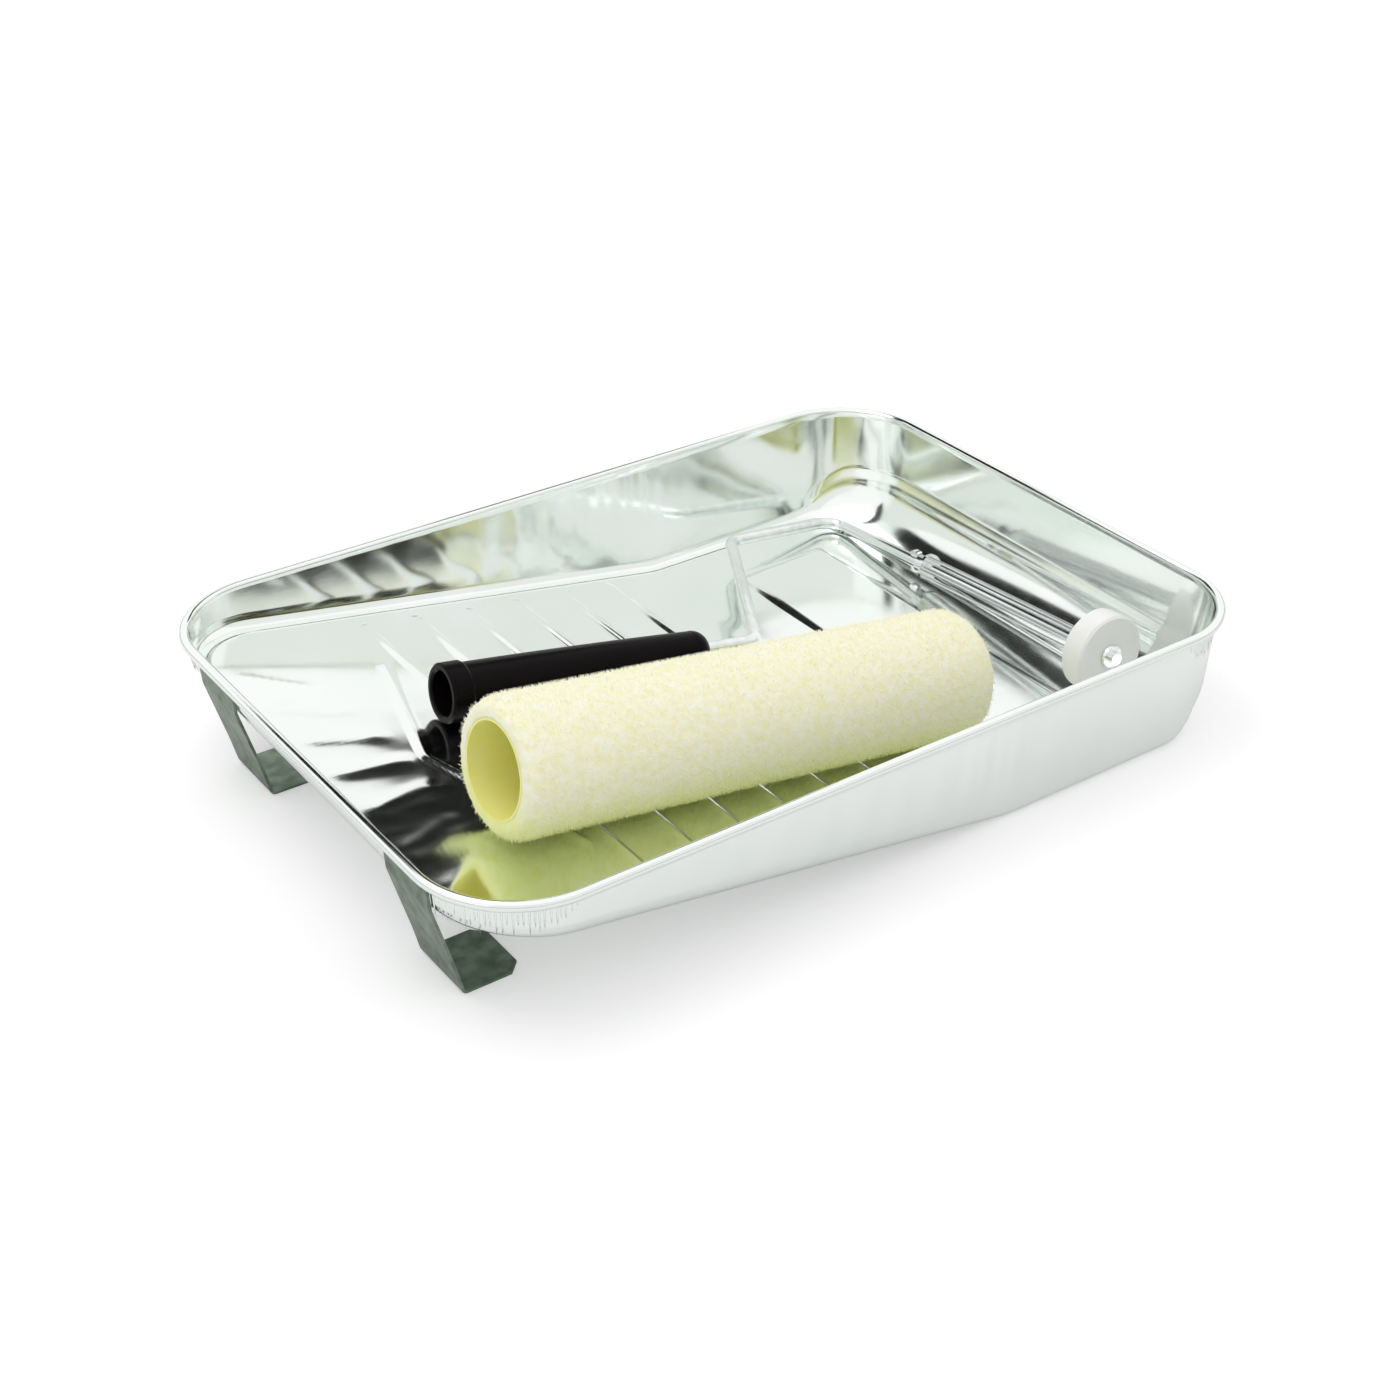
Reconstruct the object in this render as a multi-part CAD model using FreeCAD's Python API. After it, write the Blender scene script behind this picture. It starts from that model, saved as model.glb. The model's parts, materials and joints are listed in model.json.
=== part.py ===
import FreeCAD, Part
import math
import os

# Paint roller tray with its roller frame and a loose roller cover.
# Millimetres. Origin: on the ground under the middle of the tray.
# +X runs towards the deep end, +Y towards the far long side, +Z up.

os.makedirs("parts", exist_ok=True)
Vec = FreeCAD.Vector
UP = Vec(0, 0, 1)

# ---------------------------------------------------------------- driving dimensions
# tray pan, pressed from one sheet
TRAY_LENGTH = 394.0
TRAY_WIDTH = 281.0
TRAY_HEIGHT = 58.0
SHEET = 0.7
RIM_BEAD_R = 2.2            # rolled rim, round in section
RIM_CORNER_R = 45.0         # plan corner at the outside of the rim
WALL_INSET = 3.0            # rim's outer edge to the wall's outer face, at the rim
WALL_LEAN = 3.4             # further in at ground level
FOLD_R = 6.0                # outside fold between floor and walls
DEEP_FOLD_R = 25.0          # wide fold at the foot of the deep end
WELL_LENGTH = 138.0         # deep end of the rim to the foot of the ramp
RAMP_TOP_Z = 42.0           # underside of the ramp at the shallow end wall
# raised patterns in the pan
RIB_FROM_CHEVRON = 10.0     # chevron's ends to the first rib
RIB_PITCH = 26.4
RIB_FROM_FOOT = 31.0        # least distance from the last rib to the ramp's foot
RIB_END_MARGIN = 19.5       # rim's long side to the end of a rib
RIB_WIDTH = 5.0
RIB_HEIGHT = 1.1
CHEVRON_FROM_END = 58.0     # shallow end of the rim to the chevron's tip
CHEVRON_DEPTH = 24.0
CHEVRON_HALF_SPAN = 82.0
PANEL_FROM_FOOT = 29.0      # ramp's foot to the raised panel in the well
PANEL_LENGTH = 54.0
PANEL_SIDE_MARGIN = 40.5    # rim's long side to the panel
PANEL_HEIGHT = 1.0
PANEL_SLOPE = 2.5
# leg straps under the shallow end
LEG_SHEET = 1.2
LEG_WIDTH = 31.5
LEG_Y = 80.0                # middle of each strap, from the middle of the pair
LEG_PAIR_Y = -6.0           # middle of the pair
LEG_LAP = 9.0               # height that lies against the end wall
LEG_FOOT_INSET = 15.0       # shallow end of the rim to the fold at the ground
LEG_BEND_INSET = 12.0
LEG_BEND_Z = 14.0
LEG_FOOT_LENGTH = 25.0
LEG_CORNER_CLIP = 5.0
LEG_FOLD_R = 1.6
DIMPLE_R = 3.0
# roller frame
ROD_R = 3.0
ROD_BEND_R = 11.0
MOUTH_FROM_CORNER_X = 280.0 # from the rod's last bend to the open end of the handle
MOUTH_FROM_CORNER_Y = 90.5
HANDLE_LENGTH = 130.0
HANDLE_COLLAR_R = 13.0
HANDLE_COLLAR_LENGTH = 9.0
HANDLE_BODY_R = 11.9
HANDLE_FRONT_R = 9.2
HANDLE_TIP_WALL = 0.9       # round the rod, where it enters
HANDLE_TIP_LENGTH = 8.0
SOCKET_R = 9.7              # pole socket in the open end of the handle
SOCKET_DEPTH = 44.0
SOCKET_CHAMFER = 0.8
ROD_IN_HANDLE = 62.0
SHANK_START = 27.5          # straight rod between the handle and its first bend
ELBOW_FROM_CORNER_X = 68.0  # second bend, at the side of the tray
ELBOW_FROM_CORNER_Y = 3.2
CORNER_FROM_END = 34.5      # last bend, where the axle starts: to the rim's deep end
CORNER_FROM_SIDE = 25.0     # and to its far side
# cage on the axle
CAP_FROM_CORNER_X = 3.8     # last bend to the end cap's inner edge
CAP_FROM_CORNER_Y = 191.5
AXLE_OVERHANG = 4.0         # rod beyond the end cap's outer face
HUB_FROM_CORNER = 70.5      # last bend to the inner face of the hub, along Y
RUNNING_GAP = 0.05
HUB_WALL = 1.3
HUB_BARREL_LENGTH = 6.0
HUB_FLANGE_RISE = 3.6       # flange's edge above the rod
HUB_FLANGE = 1.6
WIRE_R = 0.8
WIRE_GAP = 1.5              # between the wires and the rod
WIRE_COUNT = 5
CAP_CLEARANCE = 0.3         # end cap inside the cover's core
CAP_FLOOR_GAP = 1.4         # under the cap, which hangs just clear of the panel's level
CAP_LENGTH = 12.0
CAP_WALL = 1.8
CAP_FACE = 2.2
CAP_BOSS_WALL = 3.6
CAP_RIBS = 6
CAP_RIB_THICKNESS = 1.4
EAR_REACH = 2.6             # crimped ears on the rod that stop the hub
EAR_LENGTH = 5.0
EAR_THICKNESS = 3.0
NUT_RIM = 2.6
NUT_THICKNESS = 1.2
# roller cover
COVER_LENGTH = 233.5
CORE_BORE_R = 19.05
CORE_WALL = 1.0
PILE_DEPTH = 8.95
PILE_BEVEL_LENGTH = 9.0
PILE_BEVEL_DROP = 6.5
PILE_OVERHANG = 0.4         # pile beyond each end of the core
COVER_PAST_FOOT = 13.4      # ramp's foot to where the full pile ends, in the well
COVER_FROM_SIDE = 74.9      # rim's near side to the cover's axis
# spaces between bodies
REST_GAP = 0.3

# ---------------------------------------------------------------- derived values
HALF_L = TRAY_LENGTH / 2
HALF_W = TRAY_WIDTH / 2
FAR = 2 * TRAY_LENGTH       # reaches past everything
RAMP_FOOT_X = HALF_L - WELL_LENGTH
SHALLOW_WALL_X = -HALF_L + WALL_INSET + WALL_LEAN * (1 - RAMP_TOP_Z / TRAY_HEIGHT)
RAMP_SLOPE = RAMP_TOP_Z / (RAMP_FOOT_X - SHALLOW_WALL_X)
RAMP_ANGLE = math.atan(RAMP_SLOPE)
RAMP_TOP_SURFACE = SHEET / math.cos(RAMP_ANGLE)
CHEVRON_TIP_X = -HALF_L + CHEVRON_FROM_END
CHEVRON_END_X = CHEVRON_TIP_X + CHEVRON_DEPTH
RIB_FIRST_X = CHEVRON_END_X + RIB_FROM_CHEVRON
RIB_COUNT = 1 + int((RAMP_FOOT_X - RIB_FROM_FOOT - RIB_FIRST_X) / RIB_PITCH)
RIB_HALF_LENGTH = HALF_W - RIB_END_MARGIN
PANEL_LOW_X = RAMP_FOOT_X + PANEL_FROM_FOOT
PANEL_HIGH_X = PANEL_LOW_X + PANEL_LENGTH
PANEL_HALF_WIDTH = HALF_W - PANEL_SIDE_MARGIN
LEG_FOOT_X = -HALF_L + LEG_FOOT_INSET
LEG_BEND_X = -HALF_L + LEG_BEND_INSET


def ramp_z(x):
    """Height of the ramp's upper face."""
    return (RAMP_FOOT_X - x) * RAMP_SLOPE + RAMP_TOP_SURFACE


def save(shape, node):
    shape.exportStep("parts/" + node + ".step")


# ---------------------------------------------------------------- tray pan
def rounded_rectangle(half_x, half_y, radius, z):
    """Closed wire: a rectangle with round corners, centred on the Z axis."""
    edges = []
    corners = ((1, 1), (-1, 1), (-1, -1), (1, -1))
    arcs = []
    for quarter, (sx, sy) in enumerate(corners):
        centre = Vec(sx * (half_x - radius), sy * (half_y - radius), z)
        start = quarter * 90
        circle = Part.Circle(centre, UP, radius)
        arcs.append(Part.Arc(circle, math.radians(start), math.radians(start + 90)))
    for i, arc in enumerate(arcs):
        following = arcs[(i + 1) % len(arcs)]
        edges.append(arc.toShape())
        edges.append(Part.LineSegment(arc.EndPoint, following.StartPoint).toShape())
    return Part.Wire(edges)


def prism_along_y(points, y_low, y_high):
    """Solid with the given XZ outline, between two Y planes."""
    corners = [Vec(x, y_low, z) for x, z in points]
    face = Part.Face(Part.makePolygon(corners + corners[:1]))
    return face.extrude(Vec(0, y_high - y_low, 0))


def tray_block(inward):
    """The pan's outside (inward = 0) or its hollow (inward = SHEET), filled solid."""
    top_z = TRAY_HEIGHT - RIM_BEAD_R
    lean_per_mm = WALL_LEAN / TRAY_HEIGHT
    reach = top_z if inward == 0 else TRAY_HEIGHT + FOLD_R
    wires = []
    for z in (0, reach):
        inset = WALL_INSET + lean_per_mm * (TRAY_HEIGHT - z) + inward
        wires.append(rounded_rectangle(HALF_L - inset, HALF_W - inset,
                                       RIM_CORNER_R - inset, z))
    block = Part.makeLoft(wires, True, True)
    # the floor: flat under the well, rising along the ramp
    ramp_lift = inward / math.cos(RAMP_ANGLE)
    foot_x = RAMP_FOOT_X + (ramp_lift - inward) / RAMP_SLOPE
    under = [(-FAR, -FAR), (FAR, -FAR), (FAR, inward), (foot_x, inward),
             (-FAR, (foot_x + FAR) * RAMP_SLOPE + inward)]
    block = block.cut(prism_along_y(under, -FAR, FAR))
    low_edges = []
    for edge in block.Edges:
        middle = edge.valueAt((edge.FirstParameter + edge.LastParameter) / 2)
        floor_z = max(0, (foot_x - middle.x) * RAMP_SLOPE) + inward
        across = abs(middle.y) < 1 and abs(middle.x) < HALF_L - RIM_CORNER_R
        if abs(middle.z - floor_z) < 0.5 and not across:
            low_edges.append(edge)
    block = block.makeFillet(FOLD_R - inward, low_edges)
    return block.cut(deep_fold_waste(inward))


def deep_fold_waste(inward):
    """What the wide fold takes off the foot of the deep end."""
    radius = DEEP_FOLD_R - inward
    lean = math.atan(WALL_LEAN / TRAY_HEIGHT)
    wall_foot = HALF_L - WALL_INSET - WALL_LEAN - inward
    turn = math.pi / 2 - lean
    run = radius * math.tan(turn / 2)
    centre = Vec(wall_foot - run + inward * math.tan(lean), 0, radius + inward)
    start = Vec(centre.x, 0, inward)
    middle = centre + Vec(math.sin(turn / 2), 0, -math.cos(turn / 2)) * radius
    end = centre + Vec(math.sin(turn), 0, -math.cos(turn)) * radius
    beyond = Vec(FAR, 0, end.z)
    below = Vec(FAR, 0, -FAR)
    edges = [Part.Arc(start, middle, end).toShape(),
             Part.LineSegment(end, beyond).toShape(),
             Part.LineSegment(beyond, below).toShape(),
             Part.LineSegment(below, Vec(start.x, 0, -FAR)).toShape(),
             Part.LineSegment(Vec(start.x, 0, -FAR), start).toShape()]
    face = Part.Face(Part.Wire(edges))
    face.translate(Vec(0, -FAR, 0))
    return face.extrude(Vec(0, 2 * FAR, 0))


def ridge(points, radius):
    """Round bar through the points with domed ends and joints."""
    bar = None
    for point in points:
        ball = Part.makeSphere(radius, point)
        bar = ball if bar is None else bar.fuse(ball)
    for low, high in zip(points, points[1:]):
        run = high - low
        bar = bar.fuse(Part.makeCylinder(radius, run.Length, low, run))
    return bar


def ramp_slab():
    """Everything above the middle of the ramp's sheet."""
    half = SHEET / 2 / math.cos(RAMP_ANGLE)
    outline = [(-HALF_L, ramp_z(-HALF_L) - half), (HALF_L, ramp_z(HALF_L) - half),
               (HALF_L, TRAY_LENGTH), (-HALF_L, TRAY_LENGTH)]
    return prism_along_y(outline, -HALF_W, HALF_W)


def emboss(pan, points):
    """Raise one round ridge in the ramp, with its groove below."""
    radius = (RIB_WIDTH ** 2 / 4 + RIB_HEIGHT ** 2) / (2 * RIB_HEIGHT)
    sink = (radius - RIB_HEIGHT) / math.cos(RAMP_ANGLE)
    spine = [Vec(x, y, ramp_z(x) - sink) for x, y in points]
    raised = ridge(spine, radius).common(ramp_slab())
    return pan.fuse(raised).cut(ridge(spine, radius - SHEET))


def raised_panel(lift, shrink):
    """Low block with sloped sides that stands on the well floor."""
    wires = []
    for z, inset in ((0, shrink), (lift, shrink + PANEL_SLOPE)):
        low = PANEL_LOW_X + inset
        high = PANEL_HIGH_X - inset
        side = PANEL_HALF_WIDTH - inset
        corners = [Vec(low, -side, z), Vec(high, -side, z), Vec(high, side, z),
                   Vec(low, side, z)]
        wires.append(Part.makePolygon(corners + corners[:1]))
    return Part.makeLoft(wires, True, True)


def rolled_rim():
    z = TRAY_HEIGHT - RIM_BEAD_R
    path = rounded_rectangle(HALF_L - RIM_BEAD_R, HALF_W - RIM_BEAD_R,
                             RIM_CORNER_R - RIM_BEAD_R, z)
    start = path.Edges[0].valueAt(path.Edges[0].FirstParameter)
    sweep = Part.BRepOffsetAPI.MakePipeShell(path)
    sweep.setFrenetMode(False)
    sweep.add(Part.Wire(Part.makeCircle(RIM_BEAD_R, start, Vec(0, 1, 0))))
    sweep.build()
    sweep.makeSolid()
    return sweep.shape()


def tray_pan():
    pan = tray_block(0).cut(tray_block(SHEET))
    for i in range(RIB_COUNT):
        x = RIB_FIRST_X + i * RIB_PITCH
        pan = emboss(pan, [(x, -RIB_HALF_LENGTH), (x, RIB_HALF_LENGTH)])
    pan = emboss(pan, [(CHEVRON_END_X, -CHEVRON_HALF_SPAN), (CHEVRON_TIP_X, 0),
                       (CHEVRON_END_X, CHEVRON_HALF_SPAN)])
    top = raised_panel(PANEL_HEIGHT + SHEET, 0)
    pan = pan.fuse(top).cut(raised_panel(PANEL_HEIGHT, SHEET))
    return pan.fuse(rolled_rim())


# ---------------------------------------------------------------- legs
def wall_x(z):
    """Outer face of the shallow end wall."""
    return -HALF_L + WALL_INSET + WALL_LEAN * (1 - z / TRAY_HEIGHT)


def leg_strap(side):
    """Strap on the end wall that slants down and turns in along the ground."""
    top_z = TRAY_HEIGHT - 2 * RIM_BEAD_R - 0.2
    low_z = top_z - LEG_LAP
    inner = [(wall_x(top_z) - 0.05, top_z), (wall_x(low_z) - 0.05, low_z),
             (LEG_BEND_X, LEG_BEND_Z), (LEG_FOOT_X, LEG_SHEET),
             (LEG_FOOT_X + LEG_FOOT_LENGTH, LEG_SHEET)]
    # the outer line: each run moved out square to itself, mitred at the bends
    normals = []
    for (x0, z0), (x1, z1) in zip(inner, inner[1:]):
        length = math.hypot(x1 - x0, z1 - z0)
        normals.append(((z1 - z0) / length, -(x1 - x0) / length))
    outer = []
    for i, (x, z) in enumerate(inner):
        before = normals[max(i - 1, 0)]
        after = normals[min(i, len(normals) - 1)]
        share = 1 + before[0] * after[0] + before[1] * after[1]
        outer.append((x + LEG_SHEET * (before[0] + after[0]) / share,
                      z + LEG_SHEET * (before[1] + after[1]) / share))
    low_y = LEG_PAIR_Y + side * LEG_Y - LEG_WIDTH / 2
    strap = prism_along_y(inner + outer[::-1], low_y, low_y + LEG_WIDTH)
    # round the fold at the ground, inside and out
    for corner, radius in ((inner[3], LEG_FOLD_R), (outer[3], LEG_FOLD_R + LEG_SHEET)):
        edges = [e for e in strap.Edges
                 if abs(e.CenterOfMass.x - corner[0]) < 0.01
                 and abs(e.CenterOfMass.z - corner[1]) < 0.01
                 and abs(e.Length - LEG_WIDTH) < 0.01]
        strap = strap.makeFillet(radius, edges)
    # clipped corners at the end of the foot
    tip_x = LEG_FOOT_X + LEG_FOOT_LENGTH
    for edge_y, way in ((low_y, 1), (low_y + LEG_WIDTH, -1)):
        corners = [Vec(tip_x - LEG_CORNER_CLIP, edge_y, -1),
                   Vec(tip_x, edge_y + way * LEG_CORNER_CLIP, -1),
                   Vec(tip_x + LEG_CORNER_CLIP, edge_y - way * LEG_CORNER_CLIP, -1)]
        clip = Part.Face(Part.makePolygon(corners + corners[:1]))
        strap = strap.cut(clip.extrude(Vec(0, 0, 2 + LEG_SHEET)))
    # pressed dimple just above the fold
    dimple = Vec((LEG_FOOT_X + LEG_BEND_X) / 2, LEG_PAIR_Y + side * LEG_Y, LEG_BEND_Z / 2 + 1)
    return strap.fuse(Part.makeSphere(DIMPLE_R, dimple + Vec(DIMPLE_R * 0.45, 0, 0)).common(
        Part.makeBox(LEG_SHEET * 4, LEG_WIDTH, LEG_BEND_Z,
                     Vec(dimple.x - LEG_SHEET * 2.2, low_y, LEG_SHEET))))


# ---------------------------------------------------------------- roller frame
CAP_R = CORE_BORE_R - CAP_CLEARANCE
HANDLE_TIP_R = ROD_R + HANDLE_TIP_WALL
HUB_BARREL_R = ROD_R + HUB_WALL
HUB_FLANGE_R = ROD_R + HUB_FLANGE_RISE
WIRE_CIRCLE_R = ROD_R + WIRE_GAP + WIRE_R
CAP_BOSS_R = ROD_R + CAP_BOSS_WALL
NUT_R = ROD_R + NUT_RIM
CORNER = Vec(HALF_L - CORNER_FROM_END, HALF_W - CORNER_FROM_SIDE, SHEET + REST_GAP + ROD_R)
CAP_START = Vec(CORNER.x - CAP_FROM_CORNER_X, CORNER.y - CAP_FROM_CORNER_Y,
                SHEET + CAP_FLOOR_GAP + CAP_R)
AXLE = (CAP_START - CORNER).normalize()
CAP_END = CAP_START + AXLE * CAP_LENGTH
MOUTH = Vec(CORNER.x - MOUTH_FROM_CORNER_X, CORNER.y - MOUTH_FROM_CORNER_Y, 0)
MOUTH.z = ramp_z(MOUTH.x) + (HANDLE_COLLAR_R + REST_GAP) / math.cos(RAMP_ANGLE)
FRAME_SLOPE = (CORNER.z - MOUTH.z) / (CORNER.x - MOUTH.x)
HANDLE_YAW = math.radians(-3.6)
HANDLE = Vec(math.cos(HANDLE_YAW), math.sin(HANDLE_YAW), FRAME_SLOPE)
HANDLE.normalize()
SHANK_BEND = MOUTH + HANDLE * (HANDLE_LENGTH + SHANK_START)
ELBOW = Vec(CORNER.x - ELBOW_FROM_CORNER_X, CORNER.y - ELBOW_FROM_CORNER_Y, 0)
ELBOW.z = MOUTH.z + FRAME_SLOPE * (ELBOW.x - MOUTH.x)


def axle_point(from_corner):
    """Point of the axle's centre line, that far from the last bend along Y."""
    return CORNER + AXLE * (from_corner / -AXLE.y)


def bent_path(points, radius):
    """Wire of straight runs joined by tangent arcs."""
    edges = []
    last = points[0]
    for before, corner, after in zip(points, points[1:], points[2:]):
        into = (corner - before).normalize()
        out = (after - corner).normalize()
        turn = into.getAngle(out)
        reach = radius * math.tan(turn / 2)
        start = corner - into * reach
        end = corner + out * reach
        bisector = (out - into).normalize()
        centre = corner + bisector * (radius / math.cos(turn / 2))
        middle = centre - bisector * radius
        edges.append(Part.LineSegment(last, start).toShape())
        edges.append(Part.Arc(start, middle, end).toShape())
        last = end
    edges.append(Part.LineSegment(last, points[-1]).toShape())
    return Part.Wire(edges)


def bent_rod():
    inner_end = MOUTH + HANDLE * (HANDLE_LENGTH - ROD_IN_HANDLE)
    path = bent_path([inner_end, SHANK_BEND, ELBOW, CORNER, CAP_END + AXLE * AXLE_OVERHANG],
                     ROD_BEND_R)
    section = Part.Wire(Part.makeCircle(ROD_R, inner_end, HANDLE))
    rod = path.makePipeShell([section], True, False)
    # crimped ears that keep the hub from sliding towards the bend
    middle = axle_point(HUB_FROM_CORNER - REST_GAP - EAR_LENGTH / 2)
    reach = ROD_R + EAR_REACH
    flat = Part.makeCylinder(reach, EAR_THICKNESS, middle - Vec(EAR_THICKNESS / 2, 0, 0),
                             Vec(1, 0, 0))
    keep = Part.makeBox(2 * reach, EAR_LENGTH, 2 * reach, Vec(-reach, -EAR_LENGTH / 2, -reach))
    keep.Placement = FreeCAD.Placement(
        middle, FreeCAD.Rotation(Vec(0, -1, 0), AXLE)).multiply(keep.Placement)
    return rod.fuse(flat.common(keep))


def turned(profile, origin, axis):
    """Solid of revolution: (distance along axis, radius) points turned about the axis."""
    face = Part.Face(Part.makePolygon([Vec(s, r, 0) for s, r in profile + profile[:1]]))
    solid = face.revolve(Vec(0, 0, 0), Vec(1, 0, 0), 360)
    solid.Placement = FreeCAD.Placement(origin, FreeCAD.Rotation(Vec(1, 0, 0), axis))
    return solid


def handle_grip():
    neck = HANDLE_COLLAR_LENGTH + 1.5
    front = HANDLE_LENGTH - HANDLE_TIP_LENGTH
    outline = [Vec(0, 0, 0), Vec(0, HANDLE_COLLAR_R - 0.8, 0), Vec(0.8, HANDLE_COLLAR_R, 0),
               Vec(HANDLE_COLLAR_LENGTH, HANDLE_COLLAR_R, 0), Vec(neck, HANDLE_BODY_R, 0)]
    edges = [Part.LineSegment(a, b).toShape() for a, b in zip(outline, outline[1:])]
    belly = Vec((neck + front) / 2, (HANDLE_BODY_R + HANDLE_FRONT_R) / 2 + 0.4, 0)
    shoulder = Vec(front, HANDLE_FRONT_R, 0)
    nose = Vec(HANDLE_LENGTH, HANDLE_TIP_R, 0)
    nose_middle = Vec(front + HANDLE_TIP_LENGTH * 0.75,
                      HANDLE_TIP_R + (HANDLE_FRONT_R - HANDLE_TIP_R) * 0.62, 0)
    edges.append(Part.Arc(outline[-1], belly, shoulder).toShape())
    edges.append(Part.Arc(shoulder, nose_middle, nose).toShape())
    axis_end = Vec(HANDLE_LENGTH, 0, 0)
    edges.append(Part.LineSegment(nose, axis_end).toShape())
    edges.append(Part.LineSegment(axis_end, outline[0]).toShape())
    grip = Part.Face(Part.Wire(edges)).revolve(Vec(0, 0, 0), Vec(1, 0, 0), 360)
    along = Vec(1, 0, 0)
    grip = grip.cut(Part.makeCylinder(SOCKET_R, SOCKET_DEPTH, Vec(0, 0, 0), along))
    grip = grip.cut(Part.makeCone(SOCKET_R + SOCKET_CHAMFER, SOCKET_R, SOCKET_CHAMFER,
                                  Vec(0, 0, 0), along))
    grip = grip.cut(Part.makeCylinder(ROD_R, ROD_IN_HANDLE,
                                      Vec(HANDLE_LENGTH - ROD_IN_HANDLE, 0, 0), along))
    grip.Placement = FreeCAD.Placement(MOUTH, FreeCAD.Rotation(along, HANDLE))
    return grip


# ---------------------------------------------------------------- cage on the axle
def cage_hub():
    bore = ROD_R + RUNNING_GAP
    length = HUB_BARREL_LENGTH + HUB_FLANGE
    profile = [(0, bore), (0, HUB_BARREL_R), (HUB_BARREL_LENGTH, HUB_BARREL_R),
               (HUB_BARREL_LENGTH, HUB_FLANGE_R), (length, HUB_FLANGE_R), (length, bore)]
    return turned(profile, axle_point(HUB_FROM_CORNER), AXLE)


def cage_wire(index):
    start = axle_point(HUB_FROM_CORNER) + AXLE * (HUB_BARREL_LENGTH + HUB_FLANGE)
    length = (CAP_START - start).Length
    angle = math.pi / 2 + index * 2 * math.pi / WIRE_COUNT
    across = AXLE.cross(UP).normalize()
    upright = across.cross(AXLE).normalize()
    offset = across * math.cos(angle) + upright * math.sin(angle)
    offset.multiply(WIRE_CIRCLE_R)
    return Part.makeCylinder(WIRE_R, length, start + offset, AXLE)


def end_cap():
    bore = ROD_R + RUNNING_GAP
    face_start = CAP_LENGTH - CAP_FACE
    skirt_inner = CAP_R - CAP_WALL
    profile = [(0, skirt_inner), (0, CAP_R - 0.8), (0.8, CAP_R), (CAP_LENGTH - 1, CAP_R),
               (CAP_LENGTH, CAP_R - 1), (CAP_LENGTH, bore), (0, bore), (0, CAP_BOSS_R),
               (face_start, CAP_BOSS_R), (face_start, skirt_inner)]
    cap = turned(profile, CAP_START, AXLE)
    for i in range(CAP_RIBS):
        rib = Part.makeBox(face_start, CAP_RIB_THICKNESS, skirt_inner - CAP_BOSS_R + 0.6,
                           Vec(0.5, -CAP_RIB_THICKNESS / 2, CAP_BOSS_R - 0.3))
        rib.rotate(Vec(0, 0, 0), Vec(1, 0, 0), i * 360 / CAP_RIBS)
        rib.Placement = FreeCAD.Placement(
            CAP_START, FreeCAD.Rotation(Vec(1, 0, 0), AXLE)).multiply(rib.Placement)
        cap = cap.fuse(rib)
    return cap


def push_nut():
    start = CAP_END + AXLE * REST_GAP
    profile = [(0, ROD_R), (0, NUT_R), (NUT_THICKNESS, NUT_R - 0.5), (NUT_THICKNESS, ROD_R)]
    return turned(profile, start, AXLE)


# ---------------------------------------------------------------- roller cover
# it leans on the flat floor at its deep end and on the highest ridge under it
PILE_R = CORE_BORE_R + CORE_WALL + PILE_DEPTH
COVER_LOW_X = RAMP_FOOT_X + COVER_PAST_FOOT
COVER_Y = -HALF_W + COVER_FROM_SIDE
LOW_REST = Vec(COVER_LOW_X, COVER_Y, SHEET + REST_GAP)
CHEVRON_X = CHEVRON_TIP_X + CHEVRON_DEPTH * min(abs(COVER_Y) / CHEVRON_HALF_SPAN, 1)
RIDGE_XS = [CHEVRON_X] + [RIB_FIRST_X + i * RIB_PITCH for i in range(RIB_COUNT)]
COVER_SLOPE = max((ramp_z(x) + RIB_HEIGHT + REST_GAP - LOW_REST.z) / (COVER_LOW_X - x)
                  for x in RIDGE_XS)
COVER_AXIS = Vec(1, 0, -COVER_SLOPE).normalize()
FULL_PILE = COVER_LENGTH / 2 + PILE_OVERHANG - PILE_BEVEL_LENGTH
COVER_CENTRE = LOW_REST - COVER_AXIS * FULL_PILE + Vec(COVER_SLOPE, 0, 1).normalize() * PILE_R
COVER_START = COVER_CENTRE - COVER_AXIS * (COVER_LENGTH / 2)


def cover_core():
    outer = CORE_BORE_R + CORE_WALL
    profile = [(0, CORE_BORE_R), (0, outer), (COVER_LENGTH, outer), (COVER_LENGTH, CORE_BORE_R)]
    return turned(profile, COVER_START, COVER_AXIS)


def cover_pile():
    inner = CORE_BORE_R + CORE_WALL
    low = PILE_R - PILE_BEVEL_DROP
    mid_s = PILE_BEVEL_LENGTH * 0.35
    mid_r = PILE_R - PILE_BEVEL_DROP * 0.38
    length = COVER_LENGTH + 2 * PILE_OVERHANG
    profile = [(0, inner), (0, low), (mid_s, mid_r), (PILE_BEVEL_LENGTH, PILE_R),
               (length - PILE_BEVEL_LENGTH, PILE_R), (length - mid_s, mid_r),
               (length, low), (length, inner)]
    return turned(profile, COVER_START - COVER_AXIS * PILE_OVERHANG, COVER_AXIS)


# ---------------------------------------------------------------- write the parts
save(tray_pan(), "tray_pan")
save(leg_strap(-1), "leg_near")
save(leg_strap(1), "leg_far")
save(handle_grip(), "handle_grip")
save(bent_rod(), "bent_rod")
save(push_nut(), "push_nut")
save(cage_hub(), "cage_hub")
for number in range(WIRE_COUNT):
    save(cage_wire(number), "cage_wire_" + str(number + 1))
save(end_cap(), "end_cap")
save(cover_core(), "cover_core")
save(cover_pile(), "cover_pile")
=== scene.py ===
import json
import math
import random

import bpy
import numpy as np
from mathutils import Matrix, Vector, noise


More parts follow.
